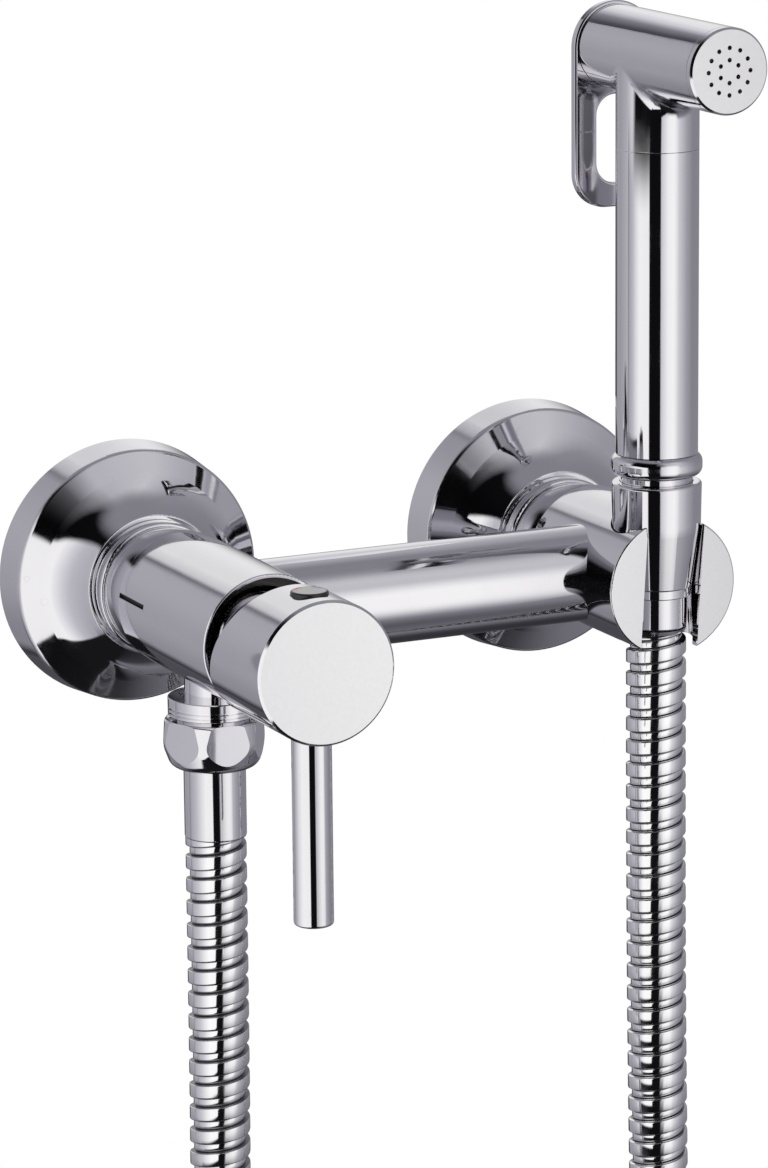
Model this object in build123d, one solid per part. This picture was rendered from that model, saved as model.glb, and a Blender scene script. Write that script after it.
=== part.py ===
from build123d import *
import os
from math import atan, cos, degrees, pi, radians, sin, sqrt, tan

os.makedirs("parts", exist_ok=True)

# A wall-mounted bidet shower set: a single-lever mixer on the left, a cross tube, and on
# the right a body whose forked front holds a hand spray on a metal hose.
# The wall is the plane y = 0, the set stands out of it towards -Y, and z = 0 is the height
# of both bodies' axes. "Depth" is the distance from the wall. Threads are plain cylinders.

# Driving dimensions, in millimetres and degrees

# Wall connections
wall_centres = 150.0
eccentric_offset = 10.0
half_centres = wall_centres / 2 - eccentric_offset
wall_thread_radius = 10.48
wall_thread_length = 16.0
wall_bore_radius = 6.0
eccentric_block_depth = 9.0
eccentric_block_radius = 17.0
eccentric_wall = 1.5
spigot_radius = 13.2
spigot_bore_radius = 7.5
spigot_end_gap = 1.0
slip = 0.1
o_ring_wire = 1.0
check_valve_length = 14.0
check_valve_wall = 1.2
check_plate_setback = 6.0
check_plate_thickness = 2.0
check_hole_radius = 1.5

# Wall flanges and the rings that hold them
flange_radius = 38.1
flange_rim_draft = 1.1
flange_front_radius = flange_radius - flange_rim_draft
flange_depth = 24.5
flange_lip_radius = 20.2
flange_lip_length = 7.0
flange_flare = 4.8
flange_cone_radius = flange_lip_radius + flange_flare
flange_cone_depth = flange_depth - flange_lip_length
flange_shoulder_length = 5.5
flange_sweep = 22.0
flange_band_depth = flange_cone_depth - flange_shoulder_length
flange_hole_radius = 16.0
flange_sheet = 1.4
flange_ring_radius = 19.0
flange_ring_length = 5.4
ring_gap = 0.6

# Bodies
body_rear_depth = flange_depth + flange_ring_length + ring_gap
body_rear_radius = 18.1
body_cone_length = 14.5
body_cone_end = body_rear_depth + body_cone_length
mixer_radius = 19.5
mixer_front_depth = 105.5
holder_radius = 20.0
socket_length = 20.5
socket_end = body_rear_depth + socket_length
spigot_end = socket_end - spigot_end_gap
inlet_chamber_radius = 9.0
inlet_chamber_length = 6.0
inlet_chamber_end = socket_end + inlet_chamber_length
edge_break = 0.5
chamber_length = 36.1
chamber_floor = mixer_front_depth - chamber_length
tube_setback = 2.4
tube_depth = chamber_floor - tube_setback
tube_radius = 14.0
tube_bore_radius = 12.5
passage_setback = 6.9
cross_passage_depth = chamber_floor - passage_setback
cross_passage_radius = 4.2
side_port_radius = 6.0
body_screw_from_rear = 16.4
body_screw_depth = body_rear_depth + body_screw_from_rear
body_screw_angle = 147.5
body_screw_radius = 2.0
screw_sunk = 0.7
screw_socket_radius = 1.1
screw_socket_depth = 1.5
mark_length = 17.4
mark_width = 1.3
mark_cut = 0.7
mark_height = 3.2

# Outlet under the mixer body
outlet_setback = 3.4
outlet_depth = chamber_floor - outlet_setback
outlet_neck_radius = 8.2
outlet_neck_bottom = 23.2
nipple_spigot_radius = 6.6
nipple_spigot_length = 4.3
nipple_collar_radius = 12.9
nipple_collar_height = 5.2
nipple_groove_cut = 0.7
nipple_groove_width = 0.5
nipple_groove_heights = (2.7, 3.9)
hose_thread_radius = 10.48
nipple_bore_radius = 4.8
outlet_bore_radius = 3.8

# Cartridge, measured back from the mixer's mouth
chamber_radius = 17.7
mouth_radius = 18.5
mouth_length = 14.5
mouth_depth = mixer_front_depth - mouth_length
port_radius = 3.0
port_circle = 8.0
seal_thickness = 1.2
seal_outer_radius = 4.6
base_thickness = 4.0
housing_radius = 17.5
housing_bore_radius = 14.6
housing_neck_radius = 13.9
housing_neck_length = 6.0
housing_neck_depth = mouth_depth + housing_neck_length
disc_thickness = 3.0
fixed_disc_radius = 14.3
moving_disc_radius = 9.0
disc_gap = 0.1
carrier_length = 13.0
carrier_start = mouth_depth - 6.0
carrier_end = carrier_start + carrier_length
carrier_radius = 12.5
carrier_flange_radius = 14.2
carrier_gap = 0.3
carrier_slot_height = 17.0
rail_inside = 9.5
rail_outside = 11.5
rail_height = 16.0
pivot_setback = 3.0
pivot_depth = carrier_end - pivot_setback
pivot_pin_radius = 1.5
running_gap = 0.05
spindle_side = 7.0
spindle_length = 42.0
spindle_end = pivot_depth + spindle_length
spindle_arm_radius = 2.4
spindle_arm_length = 11.7
spindle_arm_depth = pivot_depth - spindle_arm_length
spindle_ball_radius = 2.5
cover_radius = 15.2
cover_sheet = 1.0
cover_sphere_radius = 16.0
cover_hole_radius = 10.0

# Handle
handle_radius = 20.0
handle_gap = 1.5
handle_length = 36.5
handle_rear_depth = mixer_front_depth + handle_gap
handle_front_depth = handle_rear_depth + handle_length
handle_relief_height = -9.8
handle_relief_slope = 26.7
handle_bore_radius = 16.6
handle_bore_length = 12.0
handle_floor_depth = handle_rear_depth + handle_bore_length
handle_bevel = 0.7
lever_setback = 10.9
lever_depth = handle_front_depth - lever_setback
lever_radius = 5.5
lever_bottom = 72.3
lever_seat = 17.5
lever_thread_radius = 3.0
lever_thread_length = 8.0
grub_radius = 2.5
grub_length = 8.0
plug_radius = 5.2
plug_seat = 14.9
plug_height = 5.7

# Hose and its ends
hose_radius = 8.65
hose_waist_radius = 7.45
hose_bore_radius = 5.8
hose_pitch = 6.76
hose_band_share = 0.55
hose_slope_share = 0.1
nut_gap = 0.9
nut_height = 14.3
nut_top = outlet_neck_bottom + nipple_collar_height + nut_gap
nut_bottom = nut_top + nut_height
nut_flats = 26.4
nut_crown_radius = 14.8
nut_head_radius = 14.0
nut_foot_radius = 12.2
nut_turn = -6.1
thread_length = 9.4
nipple_bottom = outlet_neck_bottom + nipple_collar_height + thread_length
ferrule_radius = 8.8
ferrule_bore_radius = 6.4
ferrule_head_gap = 0.38
ferrule_head_radius = hose_thread_radius - ferrule_head_gap
ferrule_head_height = 2.0
washer_height = 1.8
ferrule_length = 20.4
lower_ferrule_bottom = nut_bottom + ferrule_length
upper_ferrule_bottom = 13.2
end_gap = 0.3

# Fork of the holder body and the cone nut that hangs in it
spray_depth = 86.0
fork_reach = 10.0
holder_front_depth = spray_depth + fork_reach
fork_slot_width = 18.2
fork_slot_lean = 3.5
cone_bore_radius = ferrule_radius + end_gap
cone_thread_bottom = 7.5
cone_tip = -4.0
cone_tip_wall = 0.8
cone_tip_radius = cone_bore_radius + cone_tip_wall
cone_foot = -1.0
cone_foot_wall = 1.2
cone_foot_radius = cone_bore_radius + cone_foot_wall
cone_shoulder = 16.0
cone_shoulder_wall = 2.22
cone_shoulder_radius = hose_thread_radius + cone_shoulder_wall
cone_top = 29.2
cone_top_flare = 0.25
cone_top_radius = cone_shoulder_radius + cone_top_flare
pocket_gap = 0.35

# Hand spray
tail_thread_gap = 0.08
tail_thread_radius = hose_thread_radius - tail_thread_gap
tail_bore_radius = 6.5
collar_gap = 1.8
tail_thread_top = cone_top + collar_gap
collar_height = 6.6
collar_top = tail_thread_top + collar_height
collar_step = 2.7
collar_radius = tail_thread_radius + collar_step
collar_round = 2.6
grip_step = 1.4
grip_radius = tail_thread_radius + grip_step
grip_wall = 1.3
grip_bore_radius = grip_radius - grip_wall
grip_spigot_length = 10.0
grip_top = 124.8
head_neck_length = 25.9
head_height = grip_top + head_neck_length
neck_wall = 1.9
neck_bore_radius = grip_bore_radius - slip - neck_wall
head_step = 1.7
head_radius = tail_thread_radius + head_step
head_wall = 1.9
head_bore_radius = head_radius - head_wall
head_rear_setback = 24.7
head_rear_depth = spray_depth - head_rear_setback
head_length = 63.3
head_front_depth = head_rear_depth + head_length
head_blend = 5.0
face_length = 2.8
face_depth = head_front_depth + face_length
face_bevel = 0.6
face_thickness = 1.5
face_spigot_gap = 0.3
face_spigot_radius = head_bore_radius - face_spigot_gap
face_spigot_wall = 2.5
face_cavity_radius = face_spigot_radius - face_spigot_wall
face_spigot_length = 4.0
hole_radius = 0.65
hole_margin = 0.9
outer_hole_circle = face_cavity_radius - hole_margin
outer_hole_count = 12
inner_hole_circle = 3.15
inner_hole_count = 6

# Spray valve and its trigger
stem_radius = 2.5
gland_length = 9.5
gland_end = head_rear_depth + gland_length
gland_running_gap = 0.08
spring_room = 22.2
valve_disc_radius = 6.5
valve_disc_start = gland_end + spring_room
valve_disc_thickness = 2.0
valve_seal_thickness = 1.6
seal_start = valve_disc_start + valve_disc_thickness
seal_end = seal_start + valve_seal_thickness
seat_start = seal_end + end_gap
seat_thickness = 4.3
seat_end = seat_start + seat_thickness
seat_hole_radius = 4.2
stem_tip_setback = 0.2
stem_end = seat_end - stem_tip_setback
spring_radius = 4.0
spring_wire_radius = 0.5
spring_turns = 7
spring_seat_gap = 0.05
trigger_gap = 0.3
trigger_front_depth = head_rear_depth - trigger_gap
trigger_thickness = 3.0
trigger_rear_depth = trigger_front_depth - trigger_thickness
trigger_overhang = 0.9
trigger_half_width = head_radius + trigger_overhang
trigger_drop = 46.1
trigger_bottom = head_height - trigger_drop
trigger_corner = 10.0
trigger_edge = 0.7
window_half_width = 6.0
window_bottom_margin = 6.9
window_bottom = trigger_bottom + window_bottom_margin
window_top_drop = 13.7
window_top = head_height - window_top_drop
stem_slot_gap = 0.3
stem_slot_radius = stem_radius + stem_slot_gap
stem_slot_rise = 1.0
trigger_nut_radius = 5.0
trigger_nut_gap = 0.3
trigger_nut_height = 3.0
stem_tail = 2.6
stem_start = trigger_rear_depth - stem_tail


# Helpers

def outline(points):
    """A closed face through (x, y) or (x, y, fillet radius) points."""
    corners = [point[:2] for point in points]
    radii = [point[2] if len(point) > 2 else 0 for point in points]
    return make_face(FilletPolyline(*corners, radius=radii, close=True))


def turned_y(x, points):
    """A solid turned about the Y direction at x, from (radius, depth) points."""
    face = outline([(point[0], -point[1], *point[2:]) for point in points])
    return Pos(x, 0, 0) * revolve(face, Axis.Y)


def turned_z(x, depth, points):
    """A solid turned about the Z direction, from (radius, height) points."""
    return Pos(x, -depth, 0) * revolve(Plane.XZ * outline(points), Axis.Z)


def rod_y(x, z, radius, near, far):
    """A round rod along Y between two depths."""
    return Pos(x, -(near + far) / 2, z) * Rot(90, 0, 0) * Cylinder(radius, far - near)


def rod_z(x, depth, radius, low, high):
    """A round rod along Z between two heights."""
    return Pos(x, -depth, (low + high) / 2) * Cylinder(radius, high - low)


def rod_x(left, right, depth, z, radius):
    """A round rod along X between two places."""
    return Pos((left + right) / 2, -depth, z) * Rot(0, 90, 0) * Cylinder(radius, right - left)


def ring_y(x, z, outer, inner, near, far):
    """A flat ring about the Y direction."""
    return rod_y(x, z, outer, near, far) - rod_y(x, z, inner, near - 1, far + 1)


def ring_z(x, depth, outer, inner, low, high):
    """A flat ring about the Z direction."""
    return rod_z(x, depth, outer, low, high) - rod_z(x, depth, inner, low - 1, high + 1)


def o_ring_y(x, z, radius, depth):
    """An O-ring about the Y direction."""
    return Pos(x, -depth, z) * Rot(90, 0, 0) * Torus(radius, o_ring_wire)


def save(name, shape):
    """Write one named piece."""
    export_step(shape, f"parts/{name}.step")


left = -half_centres
right = half_centres
sides = {"left": left, "right": right}


# Wall flanges: pressed brass shells, trumpet shaped, open at the wall

def wall_flange(x):
    outside = [
        (flange_radius, 0),
        (flange_front_radius, flange_band_depth, 1.6),
        (flange_cone_radius, flange_cone_depth, flange_sweep),
        (flange_lip_radius, flange_depth, 0.6),
        (flange_hole_radius, flange_depth),
    ]
    inside = [
        (flange_hole_radius, flange_depth - flange_sheet),
        (flange_lip_radius - flange_sheet, flange_depth - flange_sheet),
        (flange_cone_radius - flange_sheet, flange_cone_depth - flange_sheet,
         flange_sweep + flange_sheet),
        (flange_front_radius - flange_sheet, flange_band_depth - flange_sheet),
        (flange_radius - flange_sheet, 0),
    ]
    return turned_y(x, outside + inside)


for side, x in sides.items():
    save(f"wall_flange_{side}", wall_flange(x))

# Threaded rings that press the flanges to the wall
ring_end = flange_depth + flange_ring_length
flange_rings = [
    turned_y(x, [
        (spigot_radius + slip, flange_depth),
        (flange_ring_radius, flange_depth, 0.9),
        (flange_ring_radius, ring_end, 0.9),
        (spigot_radius + slip, ring_end),
    ])
    for x in sides.values()
]
save("flange_rings", Compound(children=flange_rings))


# Eccentric wall connectors: the wall thread stands outside the body's axis by the offset

o_ring_depths = (body_rear_depth + 5, body_rear_depth + 11)
o_ring_circle = spigot_radius + slip - o_ring_wire
groove_radius = o_ring_circle - o_ring_wire
block_shift = (eccentric_offset + wall_thread_radius - spigot_radius) / 2


def wall_connector(x):
    outward = 1 if x > 0 else -1
    wall_x = x + outward * eccentric_offset
    block_end = eccentric_block_depth
    shape = rod_y(wall_x, 0, wall_thread_radius, -wall_thread_length, 1)
    shape += rod_y(x + outward * block_shift, 0, eccentric_block_radius, 0.5, block_end)
    shape += rod_y(x, 0, spigot_radius, 1, spigot_end)
    for depth in o_ring_depths:
        shape -= ring_y(x, 0, spigot_radius + 1, groove_radius, depth - 1.1, depth + 1.1)
    channel_end = block_end - eccentric_wall
    channel = Box(eccentric_offset, channel_end - 2, 2 * wall_bore_radius)
    shape -= rod_y(wall_x, 0, wall_bore_radius, -wall_thread_length, channel_end)
    shape -= Pos((x + wall_x) / 2, -(2 + channel_end) / 2, 0) * channel
    shape -= rod_y(x, 0, spigot_bore_radius, 2, spigot_end)
    return shape


for side, x in sides.items():
    save(f"wall_connector_{side}", wall_connector(x))

o_rings = [o_ring_y(x, 0, o_ring_circle, depth) for x in sides.values() for depth in o_ring_depths]
save("connector_o_rings", Compound(children=o_rings))

# Non-return valves: plastic cages pushed into the spigots
cage_bore = spigot_bore_radius - check_valve_wall
cage_start = spigot_end - check_valve_length
plate_start = cage_start + check_plate_setback
plate_end = plate_start + check_plate_thickness
valves = [
    ring_y(x, 0, spigot_bore_radius, cage_bore, cage_start, spigot_end)
    + rod_y(x, 0, cage_bore, plate_start, plate_end)
    - rod_y(x, 0, check_hole_radius, plate_start - 1, plate_end + 1)
    for x in sides.values()
]
save("non_return_valves", Compound(children=valves))


# Bodies: brass castings that slide over the connectors and are locked by a grub screw

def body_blank(x, radius, front):
    """The turned outside of a body, with its rear cone."""
    return turned_y(x, [
        (0, body_rear_depth),
        (body_rear_radius, body_rear_depth, 0.8),
        (radius, body_cone_end),
        (radius, front, edge_break),
        (0, front),
    ])


def body_screw_rod(x, low, high):
    """A rod on the line of a body's radial grub screw, between two radii of the body."""
    angle = body_screw_angle if x > 0 else 180 - body_screw_angle
    place = Pos(x, -body_screw_depth, 0) * Rot(0, 90 - angle, 0)
    return place * Pos(0, 0, (low + high) / 2) * Cylinder(body_screw_radius, high - low)


def body_rear(x, radius):
    """What is cut from the back of either body: the socket, the chamber, the screw hole."""
    cut = rod_y(x, 0, spigot_radius + slip, body_rear_depth - 1, socket_end)
    cut += rod_y(x, 0, inlet_chamber_radius, socket_end - 1, inlet_chamber_end)
    return cut + body_screw_rod(x, spigot_radius - 1, radius + 1)


def body_screw(x, radius):
    """The grub screw, sunk a little, with its hexagon socket."""
    angle = body_screw_angle if x > 0 else 180 - body_screw_angle
    place = Pos(x, -body_screw_depth, 0) * Rot(0, 90 - angle, 0)
    top = radius - screw_sunk
    socket = extrude(RegularPolygon(screw_socket_radius, 6), screw_socket_depth + 1)
    screw = body_screw_rod(x, spigot_radius + slip, top)
    return screw - place * Pos(0, 0, top - screw_socket_depth) * socket


mixer_blank = body_blank(left, mixer_radius, mixer_front_depth)
holder_blank = body_blank(right, holder_radius, holder_front_depth)
port_angles = {"hot": 150, "cold": 30, "outlet": 270}
ports = {
    name: (left + port_circle * cos(radians(angle)), port_circle * sin(radians(angle)))
    for name, angle in port_angles.items()
}


def mixer_body():
    shape = mixer_blank + rod_z(left, outlet_depth, outlet_neck_radius, -outlet_neck_bottom, -5)
    shape -= body_rear(left, mixer_radius)
    shape -= rod_y(left, 0, chamber_radius, chamber_floor, mixer_front_depth + 1)
    shape -= rod_y(left, 0, mouth_radius, mouth_depth, mixer_front_depth + 1)
    hot_x, hot_z = ports["hot"]
    cold_x, cold_z = ports["cold"]
    outlet_x, outlet_z = ports["outlet"]
    shape -= rod_y(hot_x, hot_z, port_radius, inlet_chamber_end - 2, chamber_floor + 1)
    shape -= rod_y(cold_x, cold_z, port_radius, cross_passage_depth, chamber_floor + 1)
    shape -= rod_x(cold_x, left + mixer_radius + 2, cross_passage_depth, cold_z,
                   cross_passage_radius)
    shape -= rod_y(outlet_x, outlet_z, port_radius, outlet_depth - 1, chamber_floor + 1)
    shape -= rod_z(left, outlet_depth, outlet_bore_radius, -outlet_neck_bottom - 1, outlet_z)
    shape -= rod_z(left, outlet_depth, nipple_spigot_radius + slip,
                   -outlet_neck_bottom - 1, -outlet_neck_bottom + nipple_spigot_length)
    mark = Box(2 * mark_cut, mark_length, mark_width)
    mark = fillet(mark.edges().filter_by(Axis.X), 0.45 * mark_width)
    mark_x = sqrt(mixer_radius**2 - mark_height**2)
    shape -= Pos(left - mark_x, -body_cone_end - mark_length / 2, mark_height) * mark
    return shape


save("mixer_body", mixer_body())


def holder_body():
    shape = holder_blank - body_rear(right, holder_radius)
    shape -= rod_y(right, 0, inlet_chamber_radius, socket_end, cross_passage_depth)
    shape -= rod_x(right - holder_radius - 2, right, cross_passage_depth, 0, side_port_radius)
    pocket = turned_z(right, spray_depth, [
        (0, -holder_radius - 1),
        (cone_foot_radius + pocket_gap, -holder_radius - 1),
        (cone_foot_radius + pocket_gap, cone_foot),
        (cone_shoulder_radius + pocket_gap, cone_shoulder),
        (cone_top_radius + pocket_gap, holder_radius + 1),
        (0, holder_radius + 1),
    ])
    slot = Box(fork_slot_width, holder_front_depth - spray_depth + 2, 3 * holder_radius)
    slot_place = Pos(right, -(spray_depth + holder_front_depth + 2) / 2, 0)
    shape -= pocket
    shape -= slot_place * Rot(0, fork_slot_lean, 0) * slot
    return shape


save("holder_body", holder_body())

body_screws = [body_screw(left, mixer_radius), body_screw(right, holder_radius)]
save("body_grub_screws", Compound(children=body_screws))

# Cross tube: its ends are saddled to the two bodies and brazed
cross_tube = rod_x(left, right, tube_depth, 0, tube_radius)
cross_tube -= rod_x(left, right, tube_depth, 0, tube_bore_radius)
saddle_start = tube_depth - 2 * tube_radius
saddle_end = tube_depth + 2 * tube_radius
cross_tube -= rod_y(left, 0, mixer_radius, saddle_start, saddle_end)
cross_tube -= rod_y(right, 0, holder_radius, saddle_start, saddle_end)
save("cross_tube", cross_tube)


# Outlet nipple: a grooved collar with a spigot brazed into the body's short neck

def outlet_nipple():
    collar_bottom = -outlet_neck_bottom - nipple_collar_height
    spigot_top = -outlet_neck_bottom + nipple_spigot_length
    shape = turned_z(left, outlet_depth, [
        (nipple_bore_radius, -nipple_bottom),
        (hose_thread_radius, -nipple_bottom, 0.6),
        (hose_thread_radius, collar_bottom),
        (nipple_collar_radius, collar_bottom, 0.3),
        (nipple_collar_radius, -outlet_neck_bottom, 0.4),
        (nipple_spigot_radius, -outlet_neck_bottom),
        (nipple_spigot_radius, spigot_top),
        (nipple_bore_radius, spigot_top),
    ])
    for height in nipple_groove_heights:
        groove_top = -outlet_neck_bottom - height
        shape -= ring_z(left, outlet_depth, nipple_collar_radius + 1,
                        nipple_collar_radius - nipple_groove_cut,
                        groove_top - nipple_groove_width, groove_top)
    return shape


save("outlet_nipple", outlet_nipple())


# Cartridge: base, port seals, ceramic discs, carrier, spindle, housing, nut and cover

base_start = chamber_floor + seal_thickness / 2
base_end = base_start + base_thickness
fixed_disc_end = base_end + disc_thickness
moving_disc_start = fixed_disc_end + disc_gap
moving_disc_end = moving_disc_start + disc_thickness
seal_inner_radius = port_radius + 0.2

seals = [
    ring_y(x, z, seal_outer_radius, seal_inner_radius, chamber_floor,
           chamber_floor + seal_thickness)
    for x, z in ports.values()
]
save("port_seals", Compound(children=seals))

cartridge_base = rod_y(left, 0, housing_radius, base_start, base_end)
fixed_disc = rod_y(left, 0, fixed_disc_radius, base_end, fixed_disc_end)
for x, z in ports.values():
    cartridge_base -= rod_y(x, z, port_radius, base_start - 1, base_end + 1)
    cartridge_base -= rod_y(x, z, seal_outer_radius + slip, base_start - 1,
                            base_start + seal_thickness / 2)
    fixed_disc -= rod_y(x, z, port_radius, base_end - 1, fixed_disc_end + 1)
save("cartridge_base", cartridge_base)
save("fixed_disc", fixed_disc)

moving_disc = rod_y(left, 0, moving_disc_radius, moving_disc_start, moving_disc_end)
mixing_hollow = rod_y(left, 0, moving_disc_radius - 2.5, moving_disc_start - 1,
                      moving_disc_start + disc_thickness / 2)
save("moving_disc", moving_disc - mixing_hollow)

disc_carrier_end = carrier_start - 0.5
ball_pocket = Box(2 * spindle_ball_radius + 1, 8, 2 * spindle_ball_radius + 1)
disc_carrier = rod_y(left, 0, moving_disc_radius, moving_disc_end, disc_carrier_end)
disc_carrier -= Pos(left, -(moving_disc_end + 0.4) - 4, 0) * ball_pocket
save("disc_carrier", disc_carrier)


def turning_carrier():
    neck_bore = carrier_radius + carrier_gap
    shape = rod_y(left, 0, carrier_radius, carrier_start, carrier_end)
    shape += rod_y(left, 0, carrier_flange_radius, carrier_start, carrier_start + 1)
    rail = Box(rail_outside - rail_inside, carrier_start - moving_disc_end + 0.5, rail_height)
    for outward in (-1, 1):
        rail_x = left + outward * (rail_inside + rail_outside) / 2
        shape += Pos(rail_x, -(moving_disc_end + carrier_start + 0.5) / 2, 0) * rail
    slot = Box(spindle_side + 2 * carrier_gap, 2 * carrier_length, carrier_slot_height)
    shape -= Pos(left, -(carrier_start + carrier_end) / 2, 0) * slot
    shape -= rod_x(left - neck_bore, left + neck_bore, pivot_depth, 0, pivot_pin_radius)
    return shape


save("turning_carrier", turning_carrier())
pin_reach = carrier_radius - 0.5
spindle_pin = rod_x(left - pin_reach, left + pin_reach, pivot_depth, 0, pivot_pin_radius)
save("spindle_pin", spindle_pin)

shank_start = pivot_depth - 4
spindle = Pos(left, -(shank_start + spindle_end) / 2, 0) * Box(
    spindle_side, spindle_end - shank_start, spindle_side)
spindle += rod_y(left, 0, spindle_arm_radius, spindle_arm_depth, shank_start + 1)
spindle += Pos(left, -spindle_arm_depth, 0) * Sphere(spindle_ball_radius)
spindle -= rod_x(left - spindle_side, left + spindle_side, pivot_depth, 0,
                 pivot_pin_radius + running_gap)
save("spindle", spindle)

step_depth = carrier_start + 1 + carrier_gap
housing = turned_y(left, [
    (housing_bore_radius, base_end),
    (housing_radius, base_end),
    (housing_radius, mouth_depth, 0.5),
    (housing_neck_radius, mouth_depth),
    (housing_neck_radius, housing_neck_depth, 0.5),
    (carrier_radius + carrier_gap, housing_neck_depth),
    (carrier_radius + carrier_gap, step_depth),
    (housing_bore_radius, step_depth),
])
save("cartridge_housing", housing)

cartridge_nut = ring_y(left, 0, mouth_radius - slip, housing_neck_radius + slip,
                       mouth_depth, housing_neck_depth)
save("cartridge_nut", cartridge_nut)


def cartridge_cover():
    """A domed ring on the nut, part of a ball about the spindle's pivot."""
    def ball_depth(radius, at):
        return pivot_depth + sqrt(radius**2 - at**2)

    def ball_middle(radius, low, high):
        angle = (atan(low / (ball_depth(radius, low) - pivot_depth))
                 + atan(high / (ball_depth(radius, high) - pivot_depth))) / 2
        return radius * sin(angle), -(pivot_depth + radius * cos(angle))

    outer_r = cover_sphere_radius
    inner_r = cover_sphere_radius - cover_sheet
    inside = cover_radius - cover_sheet
    base = -housing_neck_depth
    outer_low = (cover_radius, -ball_depth(outer_r, cover_radius))
    outer_high = (cover_hole_radius, -ball_depth(outer_r, cover_hole_radius))
    inner_low = (inside, -ball_depth(inner_r, inside))
    inner_high = (cover_hole_radius, -ball_depth(inner_r, cover_hole_radius))
    edges = [
        Line((inside, base), (cover_radius, base)),
        Line((cover_radius, base), outer_low),
        ThreePointArc(outer_low, ball_middle(outer_r, cover_hole_radius, cover_radius),
                      outer_high),
        Line(outer_high, inner_high),
        ThreePointArc(inner_high, ball_middle(inner_r, cover_hole_radius, inside), inner_low),
        Line(inner_low, (inside, base)),
    ]
    return Pos(left, 0, 0) * revolve(make_face(edges), Axis.Y)


save("cartridge_cover", cartridge_cover())


# Handle: a solid cap on the spindle, its lever pin, its locking screw and the colour plug

def handle_cap():
    shape = turned_y(left, [
        (0, handle_rear_depth),
        (handle_radius, handle_rear_depth),
        (handle_radius, handle_front_depth - handle_bevel),
        (handle_radius - handle_bevel, handle_front_depth),
        (0, handle_front_depth),
    ])
    reach = 2 * handle_radius
    far_depth = handle_rear_depth + (reach - handle_relief_height) * tan(
        radians(handle_relief_slope))
    relief = outline([
        (-handle_rear_depth + 5, handle_relief_height),
        (-handle_rear_depth, handle_relief_height),
        (-far_depth, reach),
        (-handle_rear_depth + 5, reach),
    ])
    relief = Plane.YZ * relief
    shape -= Pos(left - reach, 0, 0) * extrude(relief, 2 * reach, dir=(1, 0, 0))
    shape -= rod_y(left, 0, handle_bore_radius, handle_rear_depth - 1, handle_floor_depth)
    socket_side = spindle_side + 2 * slip
    socket_end_depth = spindle_end + slip
    socket = Box(socket_side, socket_end_depth - handle_floor_depth + 1, socket_side)
    shape -= Pos(left, -(handle_floor_depth - 1 + socket_end_depth) / 2, 0) * socket
    shape -= rod_z(left, lever_depth, lever_radius + slip, -handle_radius - 1, -lever_seat)
    shape -= rod_z(left, lever_depth, lever_thread_radius, -handle_radius,
                   -lever_seat + lever_thread_length)
    shape -= rod_z(left, lever_depth, grub_radius, 0, handle_radius)
    shape -= rod_z(left, lever_depth, plug_radius + slip, plug_seat, handle_radius + 1)
    return shape


save("handle_cap", handle_cap())

lever_pin = turned_z(left, lever_depth, [
    (0, -lever_bottom),
    (lever_radius, -lever_bottom, 0.9),
    (lever_radius, -lever_seat),
    (lever_thread_radius, -lever_seat),
    (lever_thread_radius, -lever_seat + lever_thread_length, 0.5),
    (0, -lever_seat + lever_thread_length),
])
save("lever_pin", lever_pin)

grub_bottom = spindle_side / 2
grub_screw = rod_z(left, lever_depth, grub_radius, grub_bottom, grub_bottom + grub_length)
grub_socket = extrude(RegularPolygon(1.4, 6), 3)
grub_screw -= Pos(left, -lever_depth, grub_bottom + grub_length - 3) * grub_socket
save("handle_grub_screw", grub_screw)

indicator_plug = turned_z(left, lever_depth, [
    (0, plug_seat),
    (plug_radius, plug_seat),
    (plug_radius, plug_seat + plug_height, 0.6),
    (0, plug_seat + plug_height),
])
save("indicator_plug", indicator_plug)


# Hose nut, washer and ferrule at the mixer's end

def hose_nut():
    """A crowned hexagon: a barrel of revolution cut by six flats."""
    shape = turned_z(left, outlet_depth, [
        (0, -nut_bottom),
        (nut_foot_radius, -nut_bottom, 3.5),
        (nut_crown_radius, -(nut_top + nut_bottom) / 2, 9),
        (nut_head_radius, -nut_top, 1),
        (0, -nut_top),
    ])
    hexagon = extrude(RegularPolygon(nut_flats / 2, 6, major_radius=False), nut_bottom - nut_top)
    shape &= Pos(left, -outlet_depth, -nut_bottom) * Rot(0, 0, nut_turn) * hexagon
    shape -= rod_z(left, outlet_depth, ferrule_radius + end_gap, -nut_bottom - 1, -nut_top)
    shape -= rod_z(left, outlet_depth, hose_thread_radius + slip, nut_seat, -nut_top + 1)
    return shape


washer_bottom = -nipple_bottom - washer_height
nut_seat = washer_bottom - ferrule_head_height
save("hose_nut", hose_nut())
save("hose_washer_lower", ring_z(left, outlet_depth, hose_thread_radius - 0.3,
                                 ferrule_bore_radius, washer_bottom, -nipple_bottom))


def hose_ferrule(x, depth, bottom, head_bottom):
    """The sleeve that the hose is pressed into, with its collar."""
    return turned_z(x, depth, [
        (ferrule_bore_radius, bottom),
        (ferrule_radius, bottom, 0.5),
        (ferrule_radius, head_bottom),
        (ferrule_head_radius, head_bottom),
        (ferrule_head_radius, head_bottom + ferrule_head_height),
        (ferrule_bore_radius, head_bottom + ferrule_head_height),
    ])


save("hose_ferrule_lower", hose_ferrule(left, outlet_depth, -lower_ferrule_bottom, nut_seat))
upper_head = cone_thread_bottom + end_gap
save("hose_ferrule_upper", hose_ferrule(right, spray_depth, -upper_ferrule_bottom, upper_head))


# Cone nut with its washer, which hangs in the fork and turns on the upper ferrule

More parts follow.
